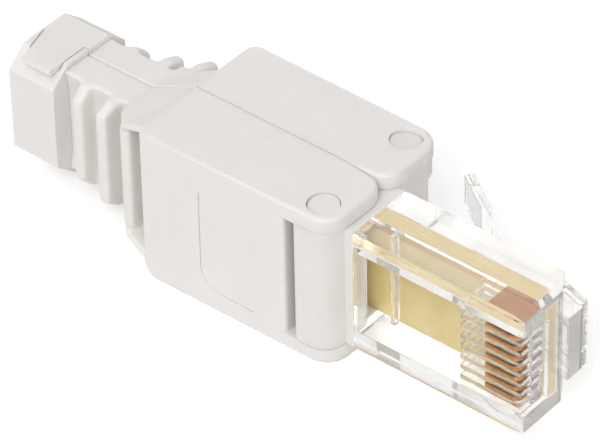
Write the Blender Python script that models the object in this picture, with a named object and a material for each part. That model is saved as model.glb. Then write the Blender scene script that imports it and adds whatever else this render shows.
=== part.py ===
"""Tool-free 8P8C modular plug, built as its separate pieces.

Frame of the finished part, in metres: +X is the way the plug is pushed into a jack, +Y is the side
of the latch lever, +Z runs across the plug's width.  The plug lies on its side, as in the photograph,
with the jaws' flat sides on Z = 0, and the origin is below the middle of its bounding box.

Every piece is drawn in plug coordinates: x runs back from the nose face (negative to the rear),
y is measured from the seam between the two jaws, z from the middle of the plug's width.
The empty plug_frame carries them to the finished frame.
"""

import math

import bmesh
import bpy
from mathutils import Matrix, Vector

MM = 0.001

# Plug body, the clear moulding that goes into the jack
PLUG_WIDTH = 11.68 * MM
PLUG_DEPTH = 6.6 * MM
SHELL_LENGTH = 16.82 * MM
CONTACT_FACE = 5.15 * MM         # from the seam to the face with the contacts
NOSE_SETBACK = 0.4 * MM          # comb front behind the side walls' noses
NOSE_CORNER_X = 1.2 * MM         # cut at the latch side of the nose
NOSE_CORNER_Y = 1.85 * MM
NOSE_EDGE_X = 1.05 * MM          # cut at the side walls' noses
NOSE_EDGE_Z = 0.45 * MM
WINDOW_HALF = 3.97 * MM
WINDOW_REAR_WALL = 0.42 * MM
REAR_BAR_DEPTH = 1.2 * MM        # thin bar across the window's rear, open below it to the board
COMB_REAR = 6.2 * MM             # comb's rear end, from the nose
POSITIONS = 8
CONTACT_PITCH = 1.02 * MM
SLOT_WIDTH = 0.56 * MM
SLOT_FRONT_WALL = 0.45 * MM
SLOT_NOSE_DEPTH = 1.5 * MM
RETAINER_BEHIND_COMB = 8.37 * MM
RETAINER_WIDTH = 0.45 * MM
RETAINER_HEIGHT = 0.68 * MM

# Circuit board and its contacts
BOARD_THICKNESS = 1.6 * MM
BOARD_WIDTH = 9.2 * MM
BOARD_DEPTH = 3.05 * MM          # from the contact face to the board
BOARD_NOSE_GAP = 1.1 * MM
BOARD_TAIL = 16.2 * MM           # board behind the shell's rear face
CONTACT_THICKNESS = 0.42 * MM
CONTACT_LENGTH = 3.3 * MM
CONTACT_NOSE_GAP = 1.0 * MM
CONTACT_RECESS = 0.6 * MM        # contact edge below the contact face
CONTACT_CORNER = 0.7 * MM
LEG_WIDTH = 0.5 * MM
LEG_HOLE = 0.8 * MM
LEG_STEP = 1.5 * MM              # between the two rows of contact legs

# Wire terminals and the blocks that hold the wires, on both faces of the board
TERMINAL_GAP = 0.5 * MM          # between neighbouring terminals
TERMINAL_SUNK = 0.2 * MM         # terminal's tip below the block's top
TERMINAL_THICKNESS = 0.35 * MM
TERMINAL_SLOT = 0.35 * MM
TERMINAL_LEG = 0.65 * MM
TERMINAL_BEHIND_PIN = 9.4 * MM
TERMINAL_STEP = 1.6 * MM         # latch-side terminals in front of the others
BLOCK_LENGTH = 6.5 * MM
BLOCK_RIM = 0.4 * MM             # beside the outer channels' share of the width
CHANNEL_WIDTH = 1.05 * MM
CHANNEL_FLOOR = 1.0 * MM
STUFFER_WIDTH = 0.8 * MM
STUFFER_ENTRY = 0.8 * MM         # how far a stuffer goes down its channel
STUFFER_CLEAR = 0.45 * MM

# Jaws and the pins they turn on
JAWS_WIDTH = 14.4 * MM           # over both jaws
JAW_HEIGHT = 14.7 * MM
JAW_WALL = 1.4 * MM
PIN_SPACING = 10.3 * MM
PIN_RADIUS = 1.32 * MM
PIN_SLANT = 0.4 * MM
PIN_BEHIND_SHELL = 2.88 * MM
EAR_FRONT = 2.2 * MM             # ear in front of the pin's axis
EAR_FILLET = 1.7 * MM
BODY_LENGTH = 17.4 * MM          # rear of the hollow body to the pin's axis
SIDE_GAP = 2.9 * MM              # side wall's end behind the pin's axis
COLUMN_BEHIND_PIN = 1.7 * MM
COLUMN_SHELL_GAP = 0.83 * MM     # from the columns' fronts to the clear body
COLLAR_INSET = 0.06 * MM         # collar's sides in from the columns'
COLLAR_RECESS = 1.35 * MM        # the window's space runs on into the collar
COLUMN_CORNER = 0.6 * MM
WALL_END_ROUND = 0.4 * MM
REAR_ROUND = {-1: 0.4 * MM, 1: 1.0 * MM}     # upright rear edges, contact side and latch side
EDGE_ROUND = 0.4 * MM
REAR_CORNER = 1.8 * MM           # rounded lower rear corner of the body
PANEL_LENGTH = 5.5 * MM
PANEL_TOP = 4.05 * MM
PANEL_BOTTOM = 5.45 * MM
PANEL_BEHIND_PIN = 11.25 * MM
PANEL_CORNER = 2.0 * MM
PANEL_LINE = 0.14 * MM

# Strain relief boot, half on each jaw
CABLE_BORE = 6.2 * MM
BOOT_LENGTH = 16.4 * MM
END_BLOCK_LENGTH = 4.8 * MM
END_BLOCK_WIDTH = 8.9 * MM
END_BLOCK_HEIGHT = 11.2 * MM
END_BLOCK_TOP = 5.0 * MM
END_BLOCK_SIDE = 7.86 * MM
SPINE_HEIGHT = 10.1 * MM
SPINE_TOP = 5.8 * MM             # flat top of the spine at its rear end
SPINE_TOP_LAST = 7.6 * MM        # and where the ramp starts
RIB_REACH = 3.95 * MM             # boot's half width where the ribs start
RIB_REACH_LAST = 5.42 * MM        # and where the ramp starts
RIB_SIDE = 3.55 * MM              # half height of the ribs' flat sides, likewise
RIB_SIDE_LAST = 4.8 * MM
RIB_DROP_LAST = 5.75 * MM        # ribs' lower ends, from the middle, where the ramp starts
RAMP_INSET = 0.45 * MM           # wide ramp's edge from the jaw's side, at the body
RAMP_FLARE = {-1: 0.85 * MM, 1: 0.1 * MM}    # how much the ramps widen from the last rib
NARROW_RAMP = 3.2 * MM           # latch-side ramp's half width at the body
SLOT_FLOOR = 2.6 * MM
SLOT_STRAIGHT = 3.3 * MM
RIB_COUNT = 3
RIB_PITCH = 3.14 * MM
RIB_WIDTH = 1.15 * MM
RIB_ROUND = 0.3 * MM
FIRST_SLOT = 1.8 * MM
RAMP_LENGTH = 4.2 * MM
RAMP_SKIN = 0.6 * MM
RAMP_DROP = 0.1 * MM             # ramp's upper end below the jaw's flat side
FLAP_LENGTH = 3.0 * MM
FLAP_REACH = 4.15 * MM
FLAP_THICKNESS = 0.5 * MM
FLAP_RIM = 1.3 * MM
FLAP_RIM_AT_SEAM = 0.15 * MM

# Latch lever
LEVER_WIDTH = 6.24 * MM
TAIL_WIDTH = 3.04 * MM
LEVER_THICKNESS = 0.86 * MM
SHOULDER_X = 4.2 * MM
ROOT_PROUD = 0.6 * MM            # lever's root in front of the nose face
ROOT_DEPTH = 1.8 * MM            # root on the nose, from the latch face down
HINGE_PROUD = 0.05 * MM
HINGE_LIFT = 0.5 * MM            # hinge axis above the latch face
HINGE_RADIUS = 0.5 * MM
BEND_X = 12.06 * MM
BEND_Y = 5.7 * MM
KINK_X = 13.9 * MM
KINK_Y = 8.02 * MM
TAIL_REACH = 10.85 * MM          # tail's tip from the seam
TAIL_SLOPE = 34.0                # degrees
ROOT_SLOT = 0.55 * MM
ROOT_SLOT_Z = 1.46 * MM
ROOT_SLOT_LENGTH = 3.0 * MM
NOTCH_HALF = 4.1 * MM
NOTCH_FLOOR = 5.4 * MM           # floor of the tail's notch, from the seam

# Clearances
SEAM_GAP = 0.04 * MM             # each jaw from the seam plane
FIT = 0.05 * MM                  # pieces that seat in or on each other
PIN_FIT = 0.07 * MM
SWING_FIT = 0.12 * MM            # pieces that pass each other as they turn
BLOCK_CLEAR = 0.5 * MM           # wire block to the contact-side jaw's wall
BLOCK_SIDE_CLEAR = 0.75 * MM     # wire blocks to the jaws' flat walls

# Values that follow from the sizes above
HALF_WIDTH = PLUG_WIDTH / 2
HALF_JAWS = JAWS_WIDTH / 2
HALF_HEIGHT = JAW_HEIGHT / 2
LATCH_FACE = PLUG_DEPTH - CONTACT_FACE
PIN_Y = PIN_SPACING / 2
PIN_X = -(SHELL_LENGTH + PIN_BEHIND_SHELL)
EAR_INNER = HALF_HEIGHT - JAW_WALL
COLUMN_HALF = EAR_INNER - FIT
BODY_REAR = PIN_X - BODY_LENGTH
RAMP_FOOT = BODY_REAR - RAMP_LENGTH
BOOT_REAR = BODY_REAR - BOOT_LENGTH
BLOCK_END = BOOT_REAR + END_BLOCK_LENGTH
BOARD_FRONT_FACE = -CONTACT_FACE + BOARD_DEPTH
BOARD_BACK_FACE = BOARD_FRONT_FACE + BOARD_THICKNESS
BOARD_REAR = -(SHELL_LENGTH + BOARD_TAIL)
BORE_RADIUS = CABLE_BORE / 2
COLUMN_FRONT = PIN_BEHIND_SHELL - COLUMN_SHELL_GAP
RAMP_END = {-1: HALF_JAWS - RAMP_INSET, 1: NARROW_RAMP}
HINGE_Y = LATCH_FACE + HINGE_LIFT
BLOCK_HEIGHT = HALF_JAWS - JAW_WALL + BOARD_FRONT_FACE - BLOCK_CLEAR
BLOCK_WIDTH = 2 * (EAR_INNER - BLOCK_SIDE_CLEAR)
CHANNEL_DEPTH = BLOCK_HEIGHT - CHANNEL_FLOOR
TERMINAL_PITCH = (BLOCK_WIDTH - 2 * BLOCK_RIM) / (POSITIONS / 2)
TERMINAL_WIDTH = TERMINAL_PITCH - TERMINAL_GAP
TERMINAL_HEIGHT = BLOCK_HEIGHT - TERMINAL_SUNK
TERMINAL_X = {-1: PIN_X - TERMINAL_BEHIND_PIN, 1: PIN_X - TERMINAL_BEHIND_PIN + TERMINAL_STEP}
BOARD_FACE = {-1: BOARD_FRONT_FACE, 1: BOARD_BACK_FACE}
BLOCK_MIDDLE = PIN_X - TERMINAL_BEHIND_PIN + TERMINAL_STEP / 2
CONTACT_FRONT = -CONTACT_NOSE_GAP
CONTACT_REAR = CONTACT_FRONT - CONTACT_LENGTH
ARC_STEPS = 6
ROUND_SIDES = 24
BEYOND = 1.0 * MM                # how far cutters run past what they cut


def remove_scene_objects():
    for item in list(bpy.data.objects):
        bpy.data.objects.remove(item, do_unlink=True)


def material(name, colour, roughness, metallic=0.0, transmission=0.0):
    made = bpy.data.materials.new(name)
    made.use_nodes = True
    shader = made.node_tree.nodes["Principled BSDF"]
    shader.inputs["Base Color"].default_value = (*colour, 1.0)
    shader.inputs["Roughness"].default_value = roughness
    shader.inputs["Metallic"].default_value = metallic
    shader.inputs["Transmission Weight"].default_value = transmission
    return made


def add_object(name, mesh, finish, parent, origin=(0.0, 0.0, 0.0)):
    """Make the object, with its own origin at the given point of the plug coordinates."""
    mesh.transform(Matrix.Translation(-Vector(origin)))
    mesh.materials.clear()
    mesh.materials.append(finish)
    made = bpy.data.objects.new(name, mesh)
    bpy.context.scene.collection.objects.link(made)
    made.parent = parent
    made.location = origin
    return made


def mesh_from(work, name):
    bmesh.ops.recalc_face_normals(work, faces=work.faces)
    mesh = bpy.data.meshes.new(name)
    work.to_mesh(mesh)
    work.free()
    return mesh


def arc(centre, radius, start, end, steps=ARC_STEPS):
    """Points of a circular arc, angles in degrees, both ends included."""
    points = []
    for step in range(steps + 1):
        angle = math.radians(start + (end - start) * step / steps)
        points.append((centre[0] + radius * math.cos(angle), centre[1] + radius * math.sin(angle)))
    return points


def circle(centre, radius, sides=ROUND_SIDES):
    return arc(centre, radius, 0, 360, sides)[:-1]


def loft(sections, twisted=False):
    """Join equal-length rings of 3-D points, with caps; twisted sides are split into triangles."""
    work = bmesh.new()
    rings = [[work.verts.new(point) for point in section] for section in sections]
    work.faces.new(rings[0])
    work.faces.new(rings[-1])
    count = len(rings[0])
    for near, far in zip(rings, rings[1:]):
        for index in range(count):
            after = (index + 1) % count
            work.faces.new((near[index], near[after], far[after], far[index]))
    if twisted:
        bmesh.ops.triangulate(work, faces=work.faces[:])
    return mesh_from(work, "loft")


def prism(outline, axis, low, high):
    """Extrude an outline: its points are (x, y) along z, (x, z) along y, (y, z) along x."""
    place = {
        "z": lambda a, b, c: (a, b, c),
        "y": lambda a, b, c: (a, c, b),
        "x": lambda a, b, c: (c, a, b),
    }[axis]
    return loft([[place(a, b, level) for a, b in outline] for level in (low, high)])


def box(x_range, y_range, z_range):
    outline = [
        (x_range[0], y_range[0]), (x_range[1], y_range[0]),
        (x_range[1], y_range[1]), (x_range[0], y_range[1]),
    ]
    return prism(outline, "z", z_range[0], z_range[1])


def side_box(side, x_range, outward, z_range):
    """Box given by its distances outward from the seam."""
    return box(x_range, sorted((side * outward[0], side * outward[1])), z_range)


def combine(target, other_mesh, operation):
    """Apply a Boolean with a passing helper object, and keep only its result."""
    helper = bpy.data.objects.new("helper", other_mesh)
    helper.hide_render = True
    helper.display_type = "WIRE"
    bpy.context.scene.collection.objects.link(helper)
    work = bpy.data.objects.new("work", target)
    bpy.context.scene.collection.objects.link(work)
    step = work.modifiers.new("combine", "BOOLEAN")
    step.operation = operation
    step.solver = "EXACT"
    step.object = helper
    view = bpy.context.evaluated_depsgraph_get()
    result = bpy.data.meshes.new_from_object(work.evaluated_get(view))
    bpy.data.objects.remove(work, do_unlink=True)
    bpy.data.objects.remove(helper, do_unlink=True)
    return result


def cut(target, other_mesh):
    return combine(target, other_mesh, "DIFFERENCE")


def join(target, other_mesh):
    return combine(target, other_mesh, "UNION")


def round_edges(mesh, width, chosen, segments=3):
    """Round the edges that the test picks, by the edge and its two end points."""
    work = bmesh.new()
    work.from_mesh(mesh)
    picked = [edge for edge in work.edges if chosen(edge, edge.verts[0].co, edge.verts[1].co)]
    bmesh.ops.bevel(work, geom=picked, offset=width, segments=segments, profile=0.5, affect="EDGES")
    return mesh_from(work, "rounded")


def shade_smooth_rounds(mesh, angle=35.0):
    """Smooth shading with crisp edges where faces meet at more than the angle."""
    work = bmesh.new()
    work.from_mesh(mesh)
    for face in work.faces:
        face.smooth = True
    for edge in work.edges:
        edge.smooth = len(edge.link_faces) == 2 and edge.calc_face_angle(0.0) < math.radians(angle)
    work.to_mesh(mesh)
    work.free()


def spaced(count, pitch):
    """Positions at an even pitch, centred on zero."""
    return [(index - (count - 1) / 2) * pitch for index in range(count)]


def nose_arc(reach, start, end):
    """Quarter ellipse round the pin, from its outer side to its front, as (x, distance outward)."""
    radius = HALF_JAWS - PIN_Y
    return [(PIN_X + (x - PIN_X) * reach / radius, y) for x, y in arc((PIN_X, PIN_Y), radius, start, end)]


def jaw_outline(rear_round):
    """Jaw seen along its pin, as (x, distance outward): box, ear round the pin, corner at the seam."""
    front = PIN_X + EAR_FRONT
    corner = (BODY_REAR + rear_round, HALF_JAWS - rear_round)
    outline = [(BODY_REAR, SEAM_GAP)] + arc(corner, rear_round, 180, 90)
    outline += nose_arc(EAR_FRONT, 90, 0)
    outline += arc((front - EAR_FILLET, SEAM_GAP + EAR_FILLET), EAR_FILLET, 0, -90)
    return outline


def jaw_body(side):
    """Solid jaw with its long edges rounded and its lower rear corner taken off."""
    rear_round = REAR_ROUND[side]
    outline = [(x, side * outward) for x, outward in jaw_outline(rear_round)]
    outer = prism(outline, "z", -HALF_HEIGHT, HALF_HEIGHT)
    near_face = HALF_HEIGHT - SEAM_GAP

    def on_rim(edge, a, b):
        flat = min(abs(a.z), abs(b.z)) > near_face and a.z * b.z > 0
        seam = max(abs(a.y), abs(b.y)) < 2 * SEAM_GAP
        rear = max(a.x, b.x) < BODY_REAR + rear_round + SEAM_GAP
        return flat and not seam and not rear

    outer = round_edges(outer, EDGE_ROUND, on_rim)
    middle = (BODY_REAR + REAR_CORNER, -HALF_HEIGHT + REAR_CORNER)
    corner = [(BODY_REAR - BEYOND, middle[1]), (BODY_REAR - BEYOND, -HALF_HEIGHT - BEYOND)]
    corner += [(middle[0], -HALF_HEIGHT - BEYOND)]
    corner += arc(middle, REAR_CORNER, 270, 180)
    return cut(outer, prism(corner, "y", -HALF_JAWS - BEYOND, HALF_JAWS + BEYOND))


def boot_section(x, side, reach, side_half, top_reach, up, down, share=1.0):
    """Half octagon across the boot; a share below one shrinks it towards the seam's middle."""
    outline = [
        (top_reach, -down), (reach, -side_half), (reach, side_half), (top_reach, up),
    ]
    outline = [(outward * share, z * share) for outward, z in outline]
    outline = [(SEAM_GAP, -down * share)] + outline + [(SEAM_GAP, up * share)]
    return [(x, side * outward, z) for outward, z in outline]


def along_boot(x, first, last):
    """Value that changes evenly from the end block to the ramp's foot."""
    return first + (last - first) * (x - BLOCK_END) / (RAMP_FOOT - BLOCK_END)


def ramp_height(x):
    share = min(1.0, max(0.0, (x - RAMP_FOOT) / RAMP_LENGTH))
    return SPINE_HEIGHT / 2 + (HALF_HEIGHT - RAMP_DROP - SPINE_HEIGHT / 2) * share


def ramp_depth(x):
    share = min(1.0, (x - RAMP_FOOT) / RAMP_LENGTH)
    return RIB_DROP_LAST + (HALF_HEIGHT - REAR_CORNER / 2 - RIB_DROP_LAST) * share


def rib(side, start):
    """One rib with rounded rims."""
    middle = start + RIB_WIDTH / 2
    size = (
        along_boot(middle, RIB_REACH, RIB_REACH_LAST), along_boot(middle, RIB_SIDE, RIB_SIDE_LAST),
        along_boot(middle, SPINE_TOP / 2, SPINE_TOP_LAST / 2), ramp_height(middle),
        along_boot(middle, SPINE_HEIGHT / 2, RIB_DROP_LAST),
    )
    sections = []
    for angle in range(0, 91, 30):
        turn = math.radians(angle)
        share = 1 - RIB_ROUND * (1 - math.sin(turn)) / size[0]
        sections.append(boot_section(start + RIB_ROUND * (1 - math.cos(turn)), side, *size, share))
    for section in sections[::-1]:
        sections.append([(2 * start + RIB_WIDTH - x, y, z) for x, y, z in section])
    return loft(sections, twisted=True)


def ramp_skin(side, start):
    """Thin ramps above and below the deep slot between the last rib and the body."""
    inside = BODY_REAR + JAW_WALL / 2
    wide = RAMP_END[side]
    edge = [(RAMP_FOOT - RIB_WIDTH / 2, SPINE_TOP_LAST / 2)]
    edge += [(start - RIB_WIDTH / 2, wide - RAMP_FLARE[side]), (BODY_REAR, wide), (inside, wide)]
    plan = [(edge[0][0], SEAM_GAP)] + edge + [(inside, SEAM_GAP), (BODY_REAR, SEAM_GAP)]
    pieces = []
    for sign, height in ((1, ramp_height), (-1, ramp_depth)):
        sections = []
        for thick in (0.0, RAMP_SKIN):
            sections.append([(x, side * outward, sign * (height(x) - thick)) for x, outward in plan])
        pieces.append(loft(sections, twisted=True))
    return pieces


def ribbed_boot(side):
    """Waisted half spine with ribs, the end block, and the ramps that rise to the body."""
    spine = SPINE_HEIGHT / 2
    waist = [
        (SEAM_GAP, -spine), (SPINE_TOP / 2, -spine), (SLOT_FLOOR, -SLOT_STRAIGHT),
        (SLOT_FLOOR, SLOT_STRAIGHT), (SPINE_TOP / 2, spine), (SEAM_GAP, spine),
    ]
    inside = BODY_REAR + JAW_WALL / 2
    shape = prism([(side * outward, z) for outward, z in waist], "x",
                  BLOCK_END - RIB_WIDTH, inside)
    wedge = [
        (RAMP_FOOT, 0.0), (inside, 0.0), (inside, ramp_height(BODY_REAR) - FIT),
        (BODY_REAR, ramp_height(BODY_REAR) - FIT), (RAMP_FOOT, spine - FIT),
    ]
    shape = join(shape, prism(wedge, "y", *sorted((side * SEAM_GAP, side * SLOT_FLOOR))))
    shape = join(shape, end_block(side))
    start = BLOCK_END
    for index in range(RIB_COUNT):
        start = BLOCK_END + FIRST_SLOT + index * RIB_PITCH
        shape = join(shape, rib(side, start))
    for piece in ramp_skin(side, start + RIB_WIDTH):
        shape = join(shape, piece)
    return shape


def end_block(side):
    section = boot_section(BOOT_REAR, side, END_BLOCK_WIDTH / 2, END_BLOCK_SIDE / 2,
                           END_BLOCK_TOP / 2, END_BLOCK_HEIGHT / 2, END_BLOCK_HEIGHT / 2)
    return loft([section, [(x + END_BLOCK_LENGTH, y, z) for x, y, z in section]])


def flap_outline(grow, tail):
    """Snap flap from above, as (x, y): its rear edge is slanted so that the jaw can swing."""
    rear = BOOT_REAR + FLAP_RIM_AT_SEAM
    tip = BOOT_REAR + FLAP_RIM
    front = tip + FLAP_LENGTH
    return [
        (rear - grow, tail), (rear - grow, 0.0), (tip - grow, -FLAP_REACH - grow),
        (front + grow, -FLAP_REACH - grow), (front + grow, tail),
    ]


def snap_flap(shape, side):
    """Flap on the latch-side jaw, and the pocket it lies in on the other."""
    top = END_BLOCK_HEIGHT / 2
    if side > 0:
        return join(shape, prism(flap_outline(0.0, BEYOND), "z", top - FLAP_THICKNESS, top))
    pocket = flap_outline(SWING_FIT, FIT)
    return cut(shape, prism(pocket, "z", top - FLAP_THICKNESS - FIT, top + BEYOND))


def panel_groove(side):
    """Fine line on the jaw's side, an L with a rounded corner, as a cutter."""
    rear = PIN_X - PANEL_BEHIND_PIN
    middle = (rear + PANEL_CORNER, -PANEL_BOTTOM + PANEL_CORNER)
    outer = [(rear, PANEL_TOP)] + arc(middle, PANEL_CORNER, 180, 270)
    outer += [(rear + PANEL_LENGTH, -PANEL_BOTTOM)]
    inner = [(rear + PANEL_LENGTH, -PANEL_BOTTOM + PANEL_LINE)]
    inner += arc(middle, PANEL_CORNER - PANEL_LINE, 270, 180)
    inner += [(rear + PANEL_LINE, PANEL_TOP)]
    depths = sorted((side * (HALF_JAWS - PANEL_LINE), side * (HALF_JAWS + BEYOND)))
    return prism(outer + inner, "y", *depths)


def stuffers(shape, side):
    """Ribs inside a jaw that push the wires down their channels, open round each terminal."""
    tip = side * (BOARD_FACE[side] + side * (BLOCK_HEIGHT - STUFFER_ENTRY))
    rear = BLOCK_MIDDLE - BLOCK_LENGTH / 2 + STUFFER_CLEAR
    front = BLOCK_MIDDLE + BLOCK_LENGTH / 2 - STUFFER_CLEAR
    outward = (tip, HALF_JAWS - JAW_WALL / 2)
    for z in spaced(POSITIONS // 2, TERMINAL_PITCH):
        heights = (z - STUFFER_WIDTH / 2, z + STUFFER_WIDTH / 2)
        gap = TERMINAL_THICKNESS / 2 + STUFFER_CLEAR
        for x_range in ((rear, TERMINAL_X[side] - gap), (TERMINAL_X[side] + gap, front)):
            shape = join(shape, side_box(side, x_range, outward, heights))
    return shape


def jaw(side, name, finish, parent):
    """One hinged half: two ears, a hollow body and half of the ribbed boot."""
    shape = join(jaw_body(side), ribbed_boot(side))
    inner = HALF_JAWS - JAW_WALL
    front = PIN_X + EAR_FRONT + BEYOND
    inside = (-EAR_INNER, EAR_INNER)
    shape = cut(shape, side_box(side, (BODY_REAR + JAW_WALL, front), (-BEYOND, inner), inside))
    wall_end = PIN_X - SIDE_GAP
    middle = (wall_end, HALF_JAWS - WALL_END_ROUND)
    mouth = [(wall_end, HALF_JAWS + BEYOND)] + arc(middle, WALL_END_ROUND, 90, 0)
    mouth += [(wall_end + WALL_END_ROUND, -BEYOND), (front, -BEYOND), (front, HALF_JAWS + BEYOND)]
    shape = cut(shape, prism([(x, side * y) for x, y in mouth], "z", *inside))
    shape = cut(shape, prism(circle((0.0, 0.0), BORE_RADIUS), "x",
                             BOOT_REAR - BEYOND, BODY_REAR + 2 * JAW_WALL))
    shape = cut(shape, prism(circle((PIN_X, side * PIN_Y), PIN_RADIUS + PIN_FIT), "z",
                             -HALF_HEIGHT - BEYOND, HALF_HEIGHT + BEYOND))
    shape = snap_flap(shape, side)
    shape = cut(shape, panel_groove(side))
    shape = stuffers(shape, side)
    shade_smooth_rounds(shape)
    return add_object(name, shape, finish, parent, (PIN_X, side * PIN_Y, 0.0))


def board_slot(x_low, x_high, grow=FIT):
    half = BOARD_WIDTH / 2 + grow
    return box((x_low, x_high), (BOARD_FRONT_FACE - grow, BOARD_BACK_FACE + grow), (-half, half))


def pin_stub(side, sign):
    """End of a hinge pin in its ear, slanted so that the ear snaps over it."""
    root = []
    tip = []
    for x, y in circle((PIN_X, side * PIN_Y), PIN_RADIUS):
        outward = (side * y - PIN_Y) / PIN_RADIUS
        root.append((x, y, sign * (COLUMN_HALF - EDGE_ROUND)))
        tip.append((x, y, sign * (HALF_HEIGHT - FIT - PIN_SLANT * (1 + outward) / 2)))
    return loft([root, tip])


def base(finish, parent):
    """White core between the jaws: two columns with the hinge pins, and a collar for the shell."""
    rear = PIN_X - COLUMN_BEHIND_PIN
    corner = (rear + COLUMN_CORNER, HALF_JAWS - COLUMN_CORNER)
    outline = arc((corner[0], -corner[1]), COLUMN_CORNER, 180, 270)
    outline += [(x, -y) for x, y in nose_arc(COLUMN_FRONT, 90, 0)]
    outline += nose_arc(COLUMN_FRONT, 0, 90)
    outline += arc(corner, COLUMN_CORNER, 90, 180)
    shape = prism(outline, "z", -COLUMN_HALF, COLUMN_HALF)
    collar = box((PIN_X, -SHELL_LENGTH - FIT), (-CONTACT_FACE, LATCH_FACE),
                 (COLLAR_INSET - COLUMN_HALF, COLUMN_HALF - COLLAR_INSET))
    shape = join(shape, collar)
    shape = cut(shape, board_slot(rear - BEYOND, -SHELL_LENGTH + BEYOND))
    recess = (-CONTACT_FACE + REAR_BAR_DEPTH, BOARD_FRONT_FACE)
    shape = cut(shape, box((-SHELL_LENGTH - COLLAR_RECESS, -SHELL_LENGTH + BEYOND), recess,
                           (-WINDOW_HALF, WINDOW_HALF)))
    notch = [
        (NOTCH_FLOOR, -NOTCH_HALF), (HALF_JAWS + BEYOND, -NOTCH_HALF),
        (HALF_JAWS + BEYOND, NOTCH_HALF), (NOTCH_FLOOR, NOTCH_HALF),
    ]
    shape = cut(shape, prism(notch, "x", rear - BEYOND, -SHELL_LENGTH))
    for side in (-1, 1):
        for sign in (-1, 1):
            shape = join(shape, pin_stub(side, sign))
    shade_smooth_rounds(shape)
    return add_object("base", shape, finish, parent)


def shell(finish, parent):
    """Clear moulding: jack-side body with the contact comb, a window over the board and a latch root."""
    outline = [
        (-SHELL_LENGTH, -CONTACT_FACE), (0.0, -CONTACT_FACE),
        (0.0, LATCH_FACE - NOSE_CORNER_Y), (-NOSE_CORNER_X, LATCH_FACE), (-SHELL_LENGTH, LATCH_FACE),
    ]
    shape = prism(outline, "z", -HALF_WIDTH, HALF_WIDTH)
    for sign in (-1, 1):
        edge = [
            (-NOSE_EDGE_X, sign * HALF_WIDTH), (BEYOND, sign * (HALF_WIDTH - NOSE_EDGE_Z)),
            (BEYOND, sign * (HALF_WIDTH + BEYOND)), (-NOSE_EDGE_X, sign * (HALF_WIDTH + BEYOND)),
        ]
        shape = cut(shape, prism(edge, "y", -CONTACT_FACE - BEYOND, LATCH_FACE + BEYOND))
    root = box((-NOSE_CORNER_X - BEYOND, ROOT_PROUD), (LATCH_FACE - ROOT_DEPTH, LATCH_FACE),
               (-LEVER_WIDTH / 2, LEVER_WIDTH / 2))
    shape = join(shape, root)
    knuckle = circle((HINGE_PROUD, HINGE_Y), HINGE_RADIUS + PIN_FIT)
    shape = cut(shape, prism(knuckle, "z", -LEVER_WIDTH / 2 - BEYOND, LEVER_WIDTH / 2 + BEYOND))
    outside = -CONTACT_FACE - BEYOND
    ledge = BOARD_FRONT_FACE - RETAINER_HEIGHT
    window_rear = -SHELL_LENGTH + WINDOW_REAR_WALL
    across = (-WINDOW_HALF, WINDOW_HALF)
    bar = -CONTACT_FACE + REAR_BAR_DEPTH
    behind = -SHELL_LENGTH - BEYOND
    retainer = -COMB_REAR - RETAINER_BEHIND_COMB
    window = [
        (-COMB_REAR, outside), (window_rear, outside), (window_rear, bar), (behind, bar),
        (behind, BOARD_FRONT_FACE), (retainer - RETAINER_WIDTH, BOARD_FRONT_FACE),
        (retainer - RETAINER_WIDTH, ledge), (retainer, ledge), (retainer, BOARD_FRONT_FACE),
        (-COMB_REAR, BOARD_FRONT_FACE),
    ]
    shape = cut(shape, prism(window, "z", *across))
    shape = cut(shape, board_slot(-SHELL_LENGTH - BEYOND, -BOARD_NOSE_GAP))
    shape = cut(shape, box((-NOSE_SETBACK, BEYOND), (outside, BOARD_FRONT_FACE), across))
    wall = -NOSE_SETBACK - SLOT_FRONT_WALL
    for z in spaced(POSITIONS, CONTACT_PITCH):
        heights = (z - SLOT_WIDTH / 2, z + SLOT_WIDTH / 2)
        shape = cut(shape, box((-COMB_REAR - BEYOND / 2, wall), (outside, BOARD_FRONT_FACE), heights))
        nose = (outside, -CONTACT_FACE + SLOT_NOSE_DEPTH)
        shape = cut(shape, box((wall - BEYOND / 2, BEYOND / 2), nose, heights))
    shade_smooth_rounds(shape)
    return add_object("plug_shell", shape, finish, parent)


def strip_sides(line, thickness):
    """The two sides of a bent strip round its centre line, as (x, y), with mitred bends."""
    directions = [(b - a).normalized() for a, b in zip(line, line[1:])]
    ends = [directions[0]] + directions + [directions[-1]]
    upper = []
    lower = []
    for point, before, after in zip(line, ends, ends[1:]):
        along = (before + after).normalized()
        normal = Vector((along.y, -along.x))
        reach = thickness / 2 / along.dot(after)
        upper.append(tuple(point + normal * reach))
        lower.append(tuple(point - normal * reach))
    return upper, lower


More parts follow.
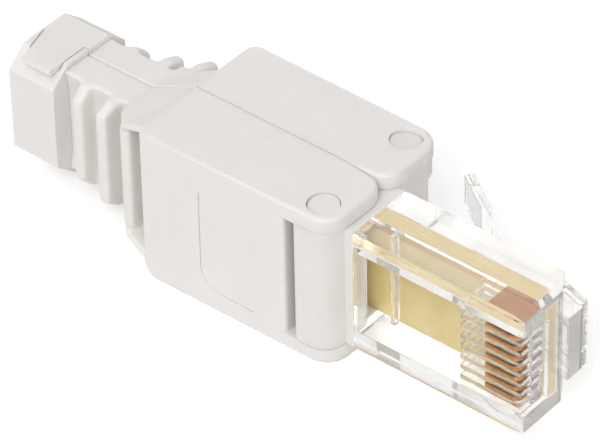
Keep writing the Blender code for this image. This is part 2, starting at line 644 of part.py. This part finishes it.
def latch_lever(finish, parent):
    """Lever from its hinge on the nose: wide up to the locking shoulders, then a bent tail."""
    hinge = Vector((HINGE_PROUD, HINGE_Y))
    bend = Vector((-BEND_X, BEND_Y))
    kink = Vector((-KINK_X, KINK_Y))
    slope = math.radians(TAIL_SLOPE)
    tip_y = TAIL_REACH - LEVER_THICKNESS / 2 * math.cos(slope)
    tip = Vector((-KINK_X - (tip_y - KINK_Y) / math.tan(slope), tip_y))
    upper, lower = strip_sides([hinge, bend, kink, tip], LEVER_THICKNESS)
    rise = bend - hinge
    along = math.degrees(math.atan2(rise.y, rise.x))
    knuckle = arc(hinge, HINGE_RADIUS, along + 60, along + 300, 2 * ARC_STEPS)
    half = LEVER_WIDTH / 2
    shape = prism(upper[1:] + lower[:0:-1] + knuckle, "z", -half, half)
    behind = (-2 * SHELL_LENGTH, -SHOULDER_X)
    for sign in (-1, 1):
        beside = sorted((sign * TAIL_WIDTH / 2, sign * (half + BEYOND)))
        shape = cut(shape, box(behind, (0.0, 2 * TAIL_REACH), beside))
        middle = sign * ROOT_SLOT_Z
        slot = box((ROOT_PROUD - ROOT_SLOT_LENGTH, ROOT_PROUD + BEYOND), (0.0, BEND_Y),
                   (middle - ROOT_SLOT / 2, middle + ROOT_SLOT / 2))
        shape = cut(shape, slot)
    shade_smooth_rounds(shape)
    return add_object("latch_lever", shape, finish, parent, (HINGE_PROUD, HINGE_Y, 0.0))


def leg_x(index):
    """Legs of neighbouring contacts stand in two rows."""
    middle = (CONTACT_FRONT + CONTACT_REAR) / 2
    return middle + (LEG_STEP / 2 if index % 2 else -LEG_STEP / 2)


def board(finish, parent):
    shape = box((BOARD_REAR, -BOARD_NOSE_GAP - FIT), (BOARD_FRONT_FACE, BOARD_BACK_FACE),
                (-BOARD_WIDTH / 2, BOARD_WIDTH / 2))
    low = BOARD_FRONT_FACE - BEYOND
    high = BOARD_BACK_FACE + BEYOND
    for index, z in enumerate(spaced(POSITIONS, CONTACT_PITCH)):
        shape = cut(shape, prism(circle((leg_x(index), z), LEG_HOLE / 2, 12), "y", low, high))
    for side in (-1, 1):
        for z in spaced(POSITIONS // 2, TERMINAL_PITCH):
            shape = cut(shape, prism(circle((TERMINAL_X[side], z), LEG_HOLE / 2, 12), "y", low, high))
    shade_smooth_rounds(shape)
    return add_object("circuit_board", shape, finish, parent)


def contact(index, z, finish, parent):
    """Blade that stands on the board in its comb slot, with one leg in the board."""
    top = -CONTACT_FACE + CONTACT_RECESS
    foot = BOARD_FRONT_FACE - FIT / 2
    leg = leg_x(index)
    corner = (CONTACT_FRONT - CONTACT_CORNER, top + CONTACT_CORNER)
    outline = [(CONTACT_REAR, foot), (CONTACT_REAR, top + FIT), (CONTACT_REAR + FIT, top)]
    outline += arc(corner, CONTACT_CORNER, -90, 0)
    outline += [
        (CONTACT_FRONT, foot), (leg + LEG_WIDTH / 2, foot), (leg + LEG_WIDTH / 2, BOARD_BACK_FACE - FIT),
        (leg - LEG_WIDTH / 2, BOARD_BACK_FACE - FIT), (leg - LEG_WIDTH / 2, foot),
    ]
    shape = prism(outline, "z", z - CONTACT_THICKNESS / 2, z + CONTACT_THICKNESS / 2)
    return add_object("contact_%d" % (index + 1), shape, finish, parent)


def terminal(side, z, name, finish, parent):
    """Forked blade that cuts into a wire, with one leg in the board."""
    foot = FIT / 2
    half = TERMINAL_WIDTH / 2
    slot = TERMINAL_SLOT / 2
    leg = TERMINAL_LEG / 2
    mouth = 2 * slot
    top = TERMINAL_HEIGHT
    one_side = [
        (leg, -BOARD_THICKNESS + FIT), (leg, foot), (half, foot), (half, top - mouth),
        (half - slot, top), (mouth, top), (slot, top - mouth), (slot, top - CHANNEL_DEPTH + FIT),
    ]
    outline = one_side + [(-across, height) for across, height in reversed(one_side)]
    face = BOARD_FACE[side]
    placed = [(face + side * height, z + across) for across, height in outline]
    middle = TERMINAL_X[side]
    shape = prism(placed, "x", middle - TERMINAL_THICKNESS / 2, middle + TERMINAL_THICKNESS / 2)
    return add_object(name, shape, finish, parent)


def wire_block(side, name, finish, parent):
    """Insulator on one face of the board: four wire channels, crossed by the terminals' slots."""
    foot = side * BOARD_FACE[side] + FIT / 2
    top = side * BOARD_FACE[side] + BLOCK_HEIGHT
    length = (BLOCK_MIDDLE - BLOCK_LENGTH / 2, BLOCK_MIDDLE + BLOCK_LENGTH / 2)
    shape = side_box(side, length, (foot, top), (-BLOCK_WIDTH / 2, BLOCK_WIDTH / 2))
    beyond = (length[0] - BEYOND, length[1] + BEYOND)
    middle = TERMINAL_X[side]
    thick = TERMINAL_THICKNESS / 2 + FIT
    wide = TERMINAL_WIDTH / 2 + FIT
    for z in spaced(POSITIONS // 2, TERMINAL_PITCH):
        heights = (z - CHANNEL_WIDTH / 2, z + CHANNEL_WIDTH / 2)
        shape = cut(shape, side_box(side, beyond, (top - CHANNEL_DEPTH, top + BEYOND), heights))
        crossing = side_box(side, (middle - thick, middle + thick), (foot - BEYOND, top + BEYOND),
                            (z - wide, z + wide))
        shape = cut(shape, crossing)
    return add_object(name, shape, finish, parent)


def build():
    remove_scene_objects()
    white = material("white_nylon", (0.78, 0.765, 0.73), 0.42)
    clear = material("clear_polycarbonate", (0.9, 0.92, 0.93), 0.08, 0.0, 0.9)
    green = material("board_laminate", (0.62, 0.52, 0.24), 0.45)
    gold = material("gold_plating", (0.83, 0.56, 0.22), 0.25, 1.0)
    tin = material("tinned_bronze", (0.72, 0.68, 0.6), 0.3, 1.0)
    insulator = material("insulator_nylon", (0.74, 0.73, 0.7), 0.5)

    frame = bpy.data.objects.new("plug_frame", None)
    bpy.context.scene.collection.objects.link(frame)
    frame.location = (-(BOOT_REAR + ROOT_PROUD) / 2, (HALF_JAWS - TAIL_REACH) / 2, HALF_HEIGHT)

    base(white, frame)
    jaw(-1, "jaw_contact_side", white, frame)
    jaw(1, "jaw_latch_side", white, frame)
    shell(clear, frame)
    latch_lever(clear, frame)
    board(green, frame)
    for index, z in enumerate(spaced(POSITIONS, CONTACT_PITCH)):
        contact(index, z, gold, frame)
    wire_block(-1, "wire_block_contact_side", insulator, frame)
    wire_block(1, "wire_block_latch_side", insulator, frame)
    number = 0
    for side in (-1, 1):
        for z in spaced(POSITIONS // 2, TERMINAL_PITCH):
            number += 1
            terminal(side, z, "terminal_%d" % number, tin, frame)


build()
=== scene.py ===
"""Looks of the tool-free modular plug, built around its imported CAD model.

The CAD solids stay where they are: modifiers soften their edges, and node materials give each
moulding, blade and board its finish.  The two jaws are remade from their solids with soft ribs,
and the copper on the board is made of pieces of its own.
"""

import math

import bmesh
import bpy
from mathutils import Matrix, Vector


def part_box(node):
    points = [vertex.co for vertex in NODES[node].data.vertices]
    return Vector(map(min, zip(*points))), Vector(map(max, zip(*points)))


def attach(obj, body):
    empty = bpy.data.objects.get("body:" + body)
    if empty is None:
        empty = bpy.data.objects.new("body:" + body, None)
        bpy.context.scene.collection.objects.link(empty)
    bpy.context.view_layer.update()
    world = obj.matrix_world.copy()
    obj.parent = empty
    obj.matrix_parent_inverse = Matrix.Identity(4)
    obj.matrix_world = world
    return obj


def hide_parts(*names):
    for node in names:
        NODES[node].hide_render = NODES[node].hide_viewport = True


MM = 0.001
WHITE = (1.0, 1.0, 1.0)

# Camera, solved from the photograph: where it stands, and its right and up directions
IMAGE_WIDTH = 600
FOCAL_PIXELS = 4864.8
SENSOR_WIDTH = 36.0
CLIP_START = 0.01
CAMERA_PLACE = (194.986 * MM, -231.145 * MM, 252.530 * MM)
CAMERA_RIGHT = (0.770884, 0.636731, -0.017629)
CAMERA_UP = (-0.392914, 0.497116, 0.773624)

# Light
WORLD_LIGHT = 0.56
BACKGROUND = 1.0
LAMPS = {                        # place, diameter and power, aimed at the origin
    "key": ((0.28, -0.68, 0.72), 0.5, 4.65),
    "fill": ((-0.40, -0.15, 0.90), 0.6, 1.05),
}
FLOOR_SIZE = 1.2
FLOOR_COLOUR = (0.86, 0.86, 0.86)
FLOOR_GLOW = 0.32                # added for the camera, so that the lit floor is white
FLOOR_GLOW_CLEAR = 0.38          # the same as seen through the clear body
LIGHT_BOUNCES = 32               # the clear body holds light by many inner reflections
GLOSSY_FILTER = 0.1              # a larger one greys what is seen through clear walls

# Rounded edges of the pieces
MOULDED_EDGE = 0.16 * MM
CLEAR_EDGE = 0.08 * MM
METAL_EDGE = 0.03 * MM
EDGE_SEGMENTS = 3
EDGE_ANGLE = 30.0                # degrees: flatter edges stay as they are
SAME_POINT = 0.002 * MM
SAME_PLANE = 0.5                 # degrees
LARGE_FACE_SHARE = 80            # how far the larger faces rule the shading at an edge

# Ribbed section of the strain relief, remade with soft rims; places are from the jaw's rear end
SEAM = -1.825 * MM               # plane in which the jaws meet
RIBS_START = 4.8 * MM
RIBS_END = 16.4 * MM
RIB_PLACES = (1.8 * MM, 4.94 * MM, 8.08 * MM)    # from the section's start
RIB_WIDTH = 1.15 * MM
RIB_RIM = 0.1 * MM
VOXEL = 0.12 * MM
SMOOTH_PASSES = 26
KEEP_AT_SEAM = 0.35 * MM         # the smoothing fades out towards the seam and the ends
KEEP_AT_ENDS = 0.5 * MM
TUCK = 0.12 * MM                 # the section's ends run this far into the rest of the jaw
SLAB_HALF = 1.0                  # far beyond the plug

# Wall that closes the slots from the cable's bore: reach from the seam, and half its height
WALL_REACH = (2.2 * MM, 2.6 * MM)
WALL_HALF = 2.3 * MM
RIB_WALL_REACH = (2.2 * MM, 3.2 * MM)    # in the ribs, and beside the section
RIB_WALL_HALF = 1.9 * MM
WALL_PAST_ENDS = 0.5 * MM

# Copper on the board
COPPER = 0.03 * MM
TRACK_WIDTH = 0.18 * MM
TRACK_INSET = {-1: 0.18 * MM, 1: 0.78 * MM}      # outer track's middle from the board's long edge
TRACK_PITCH = {-1: 0.28 * MM, 1: 0.34 * MM}
TRACK_START = 1.0 * MM           # straight stretch at each pad
CONTACT_PAD = 0.47 * MM
TERMINAL_PAD = 0.75 * MM
HOLE_RADIUS = 0.41 * MM
RING_SIDES = 24
# For each face: contact, lane counted from the lower (-) or upper (+) edge, and terminal
TRACKS = {
    -1: ((1, -1, 1), (3, -2, 2), (6, 2, 3), (8, 1, 4)),
    1: ((2, -1, 5), (4, -2, 6), (5, 2, 7), (7, 1, 8)),
}

# Colours that vary over a surface: the main one and its shade
JAW_WHITE = ((0.82, 0.795, 0.77), (0.80, 0.772, 0.745))
CORE_WHITE = ((0.80, 0.775, 0.75), (0.78, 0.75, 0.72))
INSULATOR_WHITE = ((0.74, 0.73, 0.70), (0.71, 0.70, 0.66))
SPECK = (0.62, 0.6, 0.57)
# Gold plate darkened to copper-brown: painted shade standing in for the dark reflections inside
# the narrow contact slots; the two colours vary at random in patches
GOLD_WITH_PAINTED_SHADE = ((0.60, 0.28, 0.075), (0.44, 0.175, 0.04))
TIN = ((0.72, 0.70, 0.66), (0.60, 0.575, 0.54))
TRACK_COPPER = ((0.72, 0.47, 0.28), (0.64, 0.38, 0.2))
BOARD = ((0.67, 0.54, 0.245), (0.60, 0.46, 0.185))
BOARD_WEAVE = (0.72, 0.60, 0.30)
BOARD_CUT = ((0.70, 0.555, 0.27), (0.54, 0.40, 0.165))

# Stretch of the fine lines in metal, along each axis
ROLLED = (0.3, 4.0, 0.3)
PLATED = (0.4, 1.0, 2.0)

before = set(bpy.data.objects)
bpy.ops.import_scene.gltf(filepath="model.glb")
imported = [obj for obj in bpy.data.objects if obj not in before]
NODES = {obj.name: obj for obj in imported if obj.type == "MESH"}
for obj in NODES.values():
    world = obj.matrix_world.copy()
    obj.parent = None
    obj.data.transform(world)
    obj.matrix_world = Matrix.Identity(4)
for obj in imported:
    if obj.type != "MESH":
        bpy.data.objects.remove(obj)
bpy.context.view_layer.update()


# Helpers for objects and meshes

def linked(name, data):
    """New object in the scene."""
    made = bpy.data.objects.new(name, data)
    bpy.context.scene.collection.objects.link(made)
    return made


def to_mesh(work, name):
    mesh = bpy.data.meshes.new(name)
    work.to_mesh(mesh)
    work.free()
    return mesh


def middle(name):
    low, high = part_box(name)
    return (low + high) / 2


# Helpers for node materials

def set_input(tree, socket, value):
    """Give a socket a value, a colour, or another node's output."""
    if isinstance(value, bpy.types.NodeSocket):
        tree.links.new(value, socket)
    elif socket.type == "RGBA":
        socket.default_value = (*value, 1.0)
    else:
        socket.default_value = value


def set_inputs(tree, node, **inputs):
    for key, value in inputs.items():
        set_input(tree, node.inputs[key.replace("_", " ")], value)


def add_node(tree, kind, settings=None, **inputs):
    node = tree.nodes.new(kind)
    for key, value in (settings or {}).items():
        setattr(node, key, value)
    set_inputs(tree, node, **inputs)
    return node


def new_material(name, **inputs):
    """Material with a Principled BSDF whose sockets are set by name."""
    made = bpy.data.materials.new(name)
    made.use_nodes = True
    shader = made.node_tree.nodes["Principled BSDF"]
    set_inputs(made.node_tree, shader, **inputs)
    return made, made.node_tree, shader


def in_millimetres(tree, stretch=(1, 1, 1)):
    """The piece's own coordinates in millimetres, stretched for lines or grain."""
    coordinates = add_node(tree, "ShaderNodeTexCoord")
    mapping = add_node(tree, "ShaderNodeMapping", Vector=coordinates.outputs["Object"])
    mapping.inputs["Scale"].default_value = [value / MM for value in stretch]
    return mapping.outputs["Vector"]


def noise(tree, vector, scale, detail=3.0, distortion=0.0):
    node = add_node(tree, "ShaderNodeTexNoise", Vector=vector, Scale=scale, Detail=detail,
                    Distortion=distortion)
    return node.outputs["Fac"]


def spread(tree, value, low, high, source=(0.3, 0.7)):
    """Map a texture's usual values onto a range."""
    node = add_node(tree, "ShaderNodeMapRange", Value=value, From_Min=source[0],
                    From_Max=source[1], To_Min=low, To_Max=high)
    return node.outputs["Result"]


def mix_colour(tree, share, first, second):
    node = add_node(tree, "ShaderNodeMix", {"data_type": "RGBA"})
    colours = [socket for socket in node.inputs if socket.type == "RGBA"]
    set_input(tree, node.inputs["Factor"], share)
    set_input(tree, colours[0], first)
    set_input(tree, colours[1], second)
    return [socket for socket in node.outputs if socket.type == "RGBA"][0]


def varied(tree, texture, colours):
    return mix_colour(tree, spread(tree, texture, 0.0, 1.0), *colours)


def maths(tree, operation, *values):
    node = add_node(tree, "ShaderNodeMath", {"operation": operation})
    for socket, value in zip(node.inputs, values):
        set_input(tree, socket, value)
    return node.outputs["Value"]


def mix_shaders(tree, share, first, second):
    node = add_node(tree, "ShaderNodeMixShader", Fac=share)
    set_input(tree, node.inputs[1], first)
    set_input(tree, node.inputs[2], second)
    return node.outputs["Shader"]


def bump(tree, height, strength, distance, below=None):
    node = add_node(tree, "ShaderNodeBump", Height=height, Strength=strength, Distance=distance)
    if below is not None:
        set_inputs(tree, node, Normal=below)
    return node.outputs["Normal"]


# Materials

def moulded_white(name, colours, roughness, grain):
    """Opaque moulded plastic: fine spark-eroded grain, faint flow clouds and a soft depth."""
    made, tree, shader = new_material(
        name, IOR=1.53, Specular_IOR_Level=0.45, Subsurface_Weight=0.3,
        Subsurface_Radius=(1.0, 0.85, 0.7), Subsurface_Scale=0.9 * MM)
    where = in_millimetres(tree)
    clouds = varied(tree, noise(tree, where, 0.35, detail=4.0, distortion=0.4), colours)
    fine = noise(tree, where, 9.0, detail=2.0)
    specks = spread(tree, fine, 0.0, 0.05, source=(0.55, 0.75))
    waves = bump(tree, noise(tree, where, 0.5, detail=2.0), strength=0.25, distance=0.05 * MM)
    set_inputs(
        tree, shader,
        Base_Color=mix_colour(tree, specks, clouds, SPECK),
        Roughness=spread(tree, fine, roughness - 0.04, roughness + 0.06),
        Normal=bump(tree, fine, strength=grain, distance=0.01 * MM, below=waves))
    return made


def clear_plastic(name, tint, haze, clear):
    """Clear polycarbonate with faint flow lines along the moulding and a trace of haze."""
    made, tree, shader = new_material(name, Base_Color=tint, IOR=1.585, Transmission_Weight=clear)
    cloud = noise(tree, in_millimetres(tree), 0.8)
    lines = noise(tree, in_millimetres(tree, (0.12, 1.0, 1.0)), 1.4, detail=2.0, distortion=0.3)
    set_inputs(
        tree, shader,
        Roughness=spread(tree, cloud, haze * 0.4, haze * 1.4),
        Normal=bump(tree, lines, strength=0.12, distance=0.02 * MM))
    return made


def laminate(name):
    """Glass and epoxy board: woven glass below a thin resin, darker fibres on its cut edges."""
    made, tree, shader = new_material(name, IOR=1.55, Coat_Weight=0.5, Coat_Roughness=0.12)
    where = in_millimetres(tree)
    warp, weft = [
        add_node(tree, "ShaderNodeTexWave", {"bands_direction": direction}, Vector=where,
                 Scale=0.75, Distortion=1.2, Detail=1.0).outputs["Fac"]
        for direction in ("X", "Z")
    ]
    weave = maths(tree, "MULTIPLY", warp, weft)
    clouds = noise(tree, where, 0.4)
    face = mix_colour(tree, spread(tree, weave, 0.0, 0.35, source=(0.1, 0.9)),
                      varied(tree, clouds, BOARD), BOARD_WEAVE)
    layers = noise(tree, in_millimetres(tree, (0.2, 6.0, 0.2)), 2.0, detail=2.0)
    geometry = add_node(tree, "ShaderNodeNewGeometry")
    facing = add_node(tree, "ShaderNodeSeparateXYZ", Vector=geometry.outputs["True Normal"])
    on_face = maths(tree, "ABSOLUTE", facing.outputs["Y"])
    set_inputs(
        tree, shader,
        Base_Color=mix_colour(tree, on_face, varied(tree, layers, BOARD_CUT), face),
        Roughness=spread(tree, clouds, 0.3, 0.42),
        Normal=bump(tree, weave, strength=0.15, distance=0.01 * MM))
    return made


def metal(name, colours, roughness, stretch):
    """Plated sheet metal with fine lines from the rolling, a little uneven."""
    made, tree, shader = new_material(name, Metallic=1.0)
    patches = noise(tree, in_millimetres(tree), 1.1, detail=4.0)
    lines = noise(tree, in_millimetres(tree, stretch), 3.0)
    set_inputs(
        tree, shader,
        Base_Color=varied(tree, patches, colours),
        Roughness=spread(tree, lines, roughness - 0.05, roughness + 0.08),
        Normal=bump(tree, lines, strength=0.2, distance=0.005 * MM))
    return made


# Modifiers, given as pairs of a kind and its settings

def add_steps(made, steps):
    for kind, settings in steps:
        step = made.modifiers.new(kind.lower(), kind)
        for key, value in settings.items():
            setattr(step, key, value)


def boolean(operation, other):
    return "BOOLEAN", {"operation": operation, "object": other}


def rounding(width):
    """Join the solid's split corners and flat faces, and round its crisp edges."""
    return [
        ("WELD", {"merge_threshold": SAME_POINT}),
        ("DECIMATE", {"decimate_type": "DISSOLVE", "angle_limit": math.radians(SAME_PLANE)}),
        ("BEVEL", {"width": width, "segments": EDGE_SEGMENTS, "limit_method": "ANGLE",
                   "angle_limit": math.radians(EDGE_ANGLE), "miter_outer": "MITER_ARC",
                   "use_clamp_overlap": True}),
    ]


def shade_evenly(made):
    for face in made.data.polygons:
        face.use_smooth = True
    add_steps(made, [("WEIGHTED_NORMAL", {"keep_sharp": True, "weight": LARGE_FACE_SHARE})])


def evaluated(mesh, steps, weights=None):
    """The mesh after its modifiers, with weights for the vertex group named share."""
    holder = linked("holder", mesh)
    if weights is not None:
        group = holder.vertex_groups.new(name="share")
        for index, share in enumerate(weights):
            group.add([index], share, "REPLACE")
    add_steps(holder, steps)
    view = bpy.context.evaluated_depsgraph_get()
    result = bpy.data.meshes.new_from_object(holder.evaluated_get(view))
    bpy.data.objects.remove(holder)
    return result


# Carried-over CAD pieces

def dress(node, finish, width=None):
    """Give a CAD node its finish, and its crisp edges a rounding."""
    for slot in node.material_slots:
        slot.material = finish
    if width is not None:
        add_steps(node, rounding(width))
        shade_evenly(node)


# Jaws

def block_mesh(low, high):
    work = bmesh.new()
    bmesh.ops.create_cube(work, size=1.0)
    for vert in work.verts:
        vert.co = [low[i] if vert.co[i] < 0 else high[i] for i in range(3)]
    return to_mesh(work, "block")


def joined(meshes):
    work = bmesh.new()
    for mesh in meshes:
        work.from_mesh(mesh)
    return to_mesh(work, "joined")


def rise(value, width):
    """Zero at zero, one from the width on, with soft ends."""
    share = min(1.0, max(0.0, value / width))
    return share * share * (3 - 2 * share)


def wall(outward, low_x, high_x, reach, half):
    """Piece of the wall between the slots and the cable's bore."""
    near, far = sorted(SEAM + outward * value for value in reach)
    height = middle("jaw_contact_side").z
    return block_mesh((low_x, near, height - half), (high_x, far, height + half))


def soft_ribs(source, slab, outward, start, end):
    """The ribbed section with soft rims, and a wall between its slots and the bore."""
    pieces = [evaluated(source, [boolean("INTERSECT", slab)])]
    pieces.append(wall(outward, start, end, WALL_REACH, WALL_HALF))
    for place in RIB_PLACES:
        low_x, high_x = start + place + RIB_RIM, start + place + RIB_WIDTH - RIB_RIM
        pieces.append(wall(outward, low_x, high_x, RIB_WALL_REACH, RIB_WALL_HALF))
    dense = evaluated(joined(pieces), [("REMESH", {"mode": "VOXEL", "voxel_size": VOXEL})])
    weights = []
    for vert in dense.vertices:
        off_seam = rise(abs(vert.co.y - SEAM) - KEEP_AT_SEAM / 2, KEEP_AT_SEAM)
        off_ends = rise(min(vert.co.x - start, end - vert.co.x), KEEP_AT_ENDS)
        weights.append(off_seam * off_ends)
    smoothing = {"factor": 0.5, "iterations": SMOOTH_PASSES, "vertex_group": "share"}
    smooth = evaluated(dense, [("SMOOTH", smoothing)], weights)
    for vert in smooth.vertices:
        if vert.co.x < start + VOXEL / 2:
            vert.co.x = start - TUCK
        elif vert.co.x > end - VOXEL / 2:
            vert.co.x = end + TUCK
    return smooth


def make_jaw(name, body, outward, finish):
    """The jaw with soft ribs: its box and end block keep the CAD faces, with rounded edges."""
    work = bmesh.new()
    work.from_mesh(NODES[name].data)
    bmesh.ops.remove_doubles(work, verts=work.verts, dist=SAME_POINT)
    source = to_mesh(work, "source")
    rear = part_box(name)[0].x
    start, end = rear + RIBS_START, rear + RIBS_END
    slab = linked("slab", block_mesh((start, -SLAB_HALF, -SLAB_HALF), (end, SLAB_HALF, SLAB_HALF)))
    walls = [
        linked("wall", wall(outward, place - WALL_PAST_ENDS, place + WALL_PAST_ENDS,
                            RIB_WALL_REACH, RIB_WALL_HALF))
        for place in (start, end)
    ]
    ribs = soft_ribs(source, slab, outward, start, end)
    closed = [boolean("UNION", piece) for piece in walls]
    rest = evaluated(source, closed + [boolean("DIFFERENCE", slab)] + rounding(MOULDED_EDGE))
    for used in [slab] + walls:
        bpy.data.objects.remove(used)
    mesh = joined([rest, ribs])
    mesh.materials.clear()
    mesh.materials.append(finish)
    for face in mesh.polygons:
        face.material_index = 0
    made = linked(name + "_moulding", mesh)
    shade_evenly(made)
    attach(made, body)
    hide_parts(name)


# Copper on the board

def ribbon(work, points, width, height, place_point):
    """Flat strip with square sides along points in the board's plane."""
    line = [Vector(point) for point in points]
    directions = [(b - a).normalized() for a, b in zip(line, line[1:])]
    ends = [directions[0]] + directions + [directions[-1]]
    rings = []
    for point, before, after in zip(line, ends, ends[1:]):
        along = (before + after).normalized()
        aside = Vector((-along.y, along.x)) * (width / 2) / along.dot(after)
        left, right = point + aside, point - aside
        corners = [(left, 0.0), (right, 0.0), (right, height), (left, height)]
        rings.append([work.verts.new(place_point(flat, level)) for flat, level in corners])
    for near, far in zip(rings, rings[1:]):
        for index in range(4):
            after = (index + 1) % 4
            work.faces.new((near[index], near[after], far[after], far[index]))
    work.faces.new(rings[0])
    work.faces.new(rings[-1])


def ring(work, centre, inner, outer, height, place_point):
    """Flat ring round a hole."""
    loops = []
    for radius, level in ((inner, 0.0), (outer, 0.0), (outer, height), (inner, height)):
        loop = []
        for step in range(RING_SIDES):
            angle = 2 * math.pi * step / RING_SIDES
            flat = Vector(centre) + radius * Vector((math.cos(angle), math.sin(angle)))
            loop.append(work.verts.new(place_point(flat, level)))
        loops.append(loop)
    for near, far in zip(loops, loops[1:] + loops[:1]):
        for index in range(RING_SIDES):
            after = (index + 1) % RING_SIDES
            work.faces.new((near[index], near[after], far[after], far[index]))


def copper_face(name, side, finish):
    """Tracks and pads on one face of the board, from the contacts' legs to the terminals."""
    low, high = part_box("circuit_board")
    face = low.y if side < 0 else high.y

    def on_face(flat, level):
        return Vector((flat.x, face + side * level, flat.y))

    work = bmesh.new()
    for number, lane_number, terminal in TRACKS[side]:
        leg = middle("contact_%d" % number)
        fork = middle("terminal_%d" % terminal)
        way = 1 if lane_number > 0 else -1
        edge = high.z if way > 0 else low.z
        lane = edge - way * (TRACK_INSET[way] + TRACK_PITCH[way] * (abs(lane_number) - 1))
        leave = leg.x - TRACK_START
        arrive = fork.x + TRACK_START
        points = [
            (leg.x, leg.z), (leave, leg.z), (leave - abs(lane - leg.z), lane),
            (arrive + abs(lane - fork.z), lane), (arrive, fork.z), (fork.x, fork.z),
        ]
        ribbon(work, points, TRACK_WIDTH, COPPER, on_face)
        ring(work, (leg.x, leg.z), HOLE_RADIUS, CONTACT_PAD, COPPER, on_face)
        ring(work, (fork.x, fork.z), HOLE_RADIUS, TERMINAL_PAD, COPPER, on_face)
    bmesh.ops.recalc_face_normals(work, faces=work.faces)
    made = linked(name, to_mesh(work, name))
    made.data.materials.append(finish)
    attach(made, "plug")


# Floor, light and camera

def floor_material():
    """Pale floor: the lit part is white to the camera, the shadow stays."""
    made, tree, shader = new_material("studio_floor", Base_Color=FLOOR_COLOUR, Roughness=0.9,
                                      Specular_IOR_Level=0.0)
    path = add_node(tree, "ShaderNodeLightPath").outputs
    seen = maths(tree, "MAXIMUM", path["Is Camera Ray"], path["Is Transmission Ray"])
    strength = spread(tree, path["Is Camera Ray"], FLOOR_GLOW_CLEAR, FLOOR_GLOW, (0.0, 1.0))
    glow = add_node(tree, "ShaderNodeEmission", Strength=strength)
    both = add_node(tree, "ShaderNodeAddShader")
    set_input(tree, both.inputs[0], shader.outputs["BSDF"])
    set_input(tree, both.inputs[1], glow.outputs["Emission"])
    surface = mix_shaders(tree, seen, shader.outputs["BSDF"], both.outputs["Shader"])
    set_inputs(tree, tree.nodes["Material Output"], Surface=surface)
    return made


def make_floor():
    half = FLOOR_SIZE / 2
    mesh = bpy.data.meshes.new("floor")
    corners = [(-half, -half, 0.0), (half, -half, 0.0), (half, half, 0.0), (-half, half, 0.0)]
    mesh.from_pydata(corners, [], [(0, 1, 2, 3)])
    mesh.materials.append(floor_material())
    linked("floor", mesh)


def make_world():
    """Even light from all sides, shown as white to camera, glossy and transmission rays."""
    world = bpy.data.worlds.new("studio")
    bpy.context.scene.world = world
    world.use_nodes = True
    tree = world.node_tree
    light = tree.nodes["Background"]
    set_inputs(tree, light, Color=WHITE, Strength=WORLD_LIGHT)
    shown = add_node(tree, "ShaderNodeBackground", Color=WHITE, Strength=BACKGROUND)
    path = add_node(tree, "ShaderNodeLightPath").outputs
    seen = path["Is Camera Ray"]
    for kind in ("Is Glossy Ray", "Is Transmission Ray"):
        seen = maths(tree, "MAXIMUM", seen, path[kind])
    surface = mix_shaders(tree, seen, light.outputs["Background"], shown.outputs["Background"])
    set_inputs(tree, tree.nodes["World Output"], Surface=surface)


def deepen_light_paths():
    cycles = bpy.context.scene.cycles
    cycles.max_bounces = LIGHT_BOUNCES
    cycles.glossy_bounces = LIGHT_BOUNCES
    cycles.transmission_bounces = LIGHT_BOUNCES
    cycles.blur_glossy = GLOSSY_FILTER


def make_lamp(name, place, size, power):
    data = bpy.data.lights.new(name, "AREA")
    data.shape = "DISK"
    data.size = size
    data.energy = power
    made = linked(name, data)
    made.location = place
    made.rotation_euler = (-Vector(place)).to_track_quat("-Z", "Y").to_euler()


def make_camera():
    data = bpy.data.cameras.new("photo_view")
    data.sensor_width = SENSOR_WIDTH
    data.lens = FOCAL_PIXELS * SENSOR_WIDTH / IMAGE_WIDTH
    data.clip_start = CLIP_START
    right = Vector(CAMERA_RIGHT).normalized()
    back = right.cross(Vector(CAMERA_UP)).normalized()
    turn = Matrix((right, back.cross(right), back)).transposed()
    made = linked("photo_view", data)
    made.matrix_world = Matrix.Translation(CAMERA_PLACE) @ turn.to_4x4()
    bpy.context.scene.camera = made


def make_pieces():
    white = moulded_white("moulded_white", JAW_WHITE, roughness=0.42, grain=0.3)
    core = moulded_white("core_white", CORE_WHITE, roughness=0.45, grain=0.25)
    insulator = moulded_white("insulator_white", INSULATOR_WHITE, roughness=0.5, grain=0.35)
    clear = clear_plastic("clear_polycarbonate_look", (1.0, 1.0, 0.997), haze=0.02, clear=0.95)
    spring = clear_plastic("lever_polycarbonate_look", (1.0, 1.0, 0.995), haze=0.1, clear=0.94)
    # gold plate whose colour carries painted shade from the contact slots
    gold = metal("gold_plate_look", GOLD_WITH_PAINTED_SHADE, roughness=0.2, stretch=ROLLED)
    tin = metal("tin_plate_look", TIN, roughness=0.32, stretch=ROLLED)
    copper = metal("track_copper", TRACK_COPPER, roughness=0.4, stretch=PLATED)

    make_jaw("jaw_contact_side", "contact_side_jaw", -1, white)
    make_jaw("jaw_latch_side", "latch_side_jaw", 1, white)
    dress(NODES["base"], core, MOULDED_EDGE)
    dress(NODES["plug_shell"], clear, CLEAR_EDGE)
    dress(NODES["latch_lever"], spring, CLEAR_EDGE)
    dress(NODES["circuit_board"], laminate("board_laminate_look"))
    groups = {"contact_": gold, "terminal_": tin, "wire_block_": insulator}
    for name, node in NODES.items():
        for start, finish in groups.items():
            if name.startswith(start):
                dress(node, finish, METAL_EDGE)
    copper_face("copper_contact_side", -1, copper)
    copper_face("copper_latch_side", 1, copper)


make_pieces()
make_floor()
make_world()
deepen_light_paths()
for lamp_name, (lamp_place, lamp_size, lamp_power) in LAMPS.items():
    make_lamp(lamp_name, lamp_place, lamp_size, lamp_power)
make_camera()
bpy.context.scene.view_settings.view_transform = "Standard"
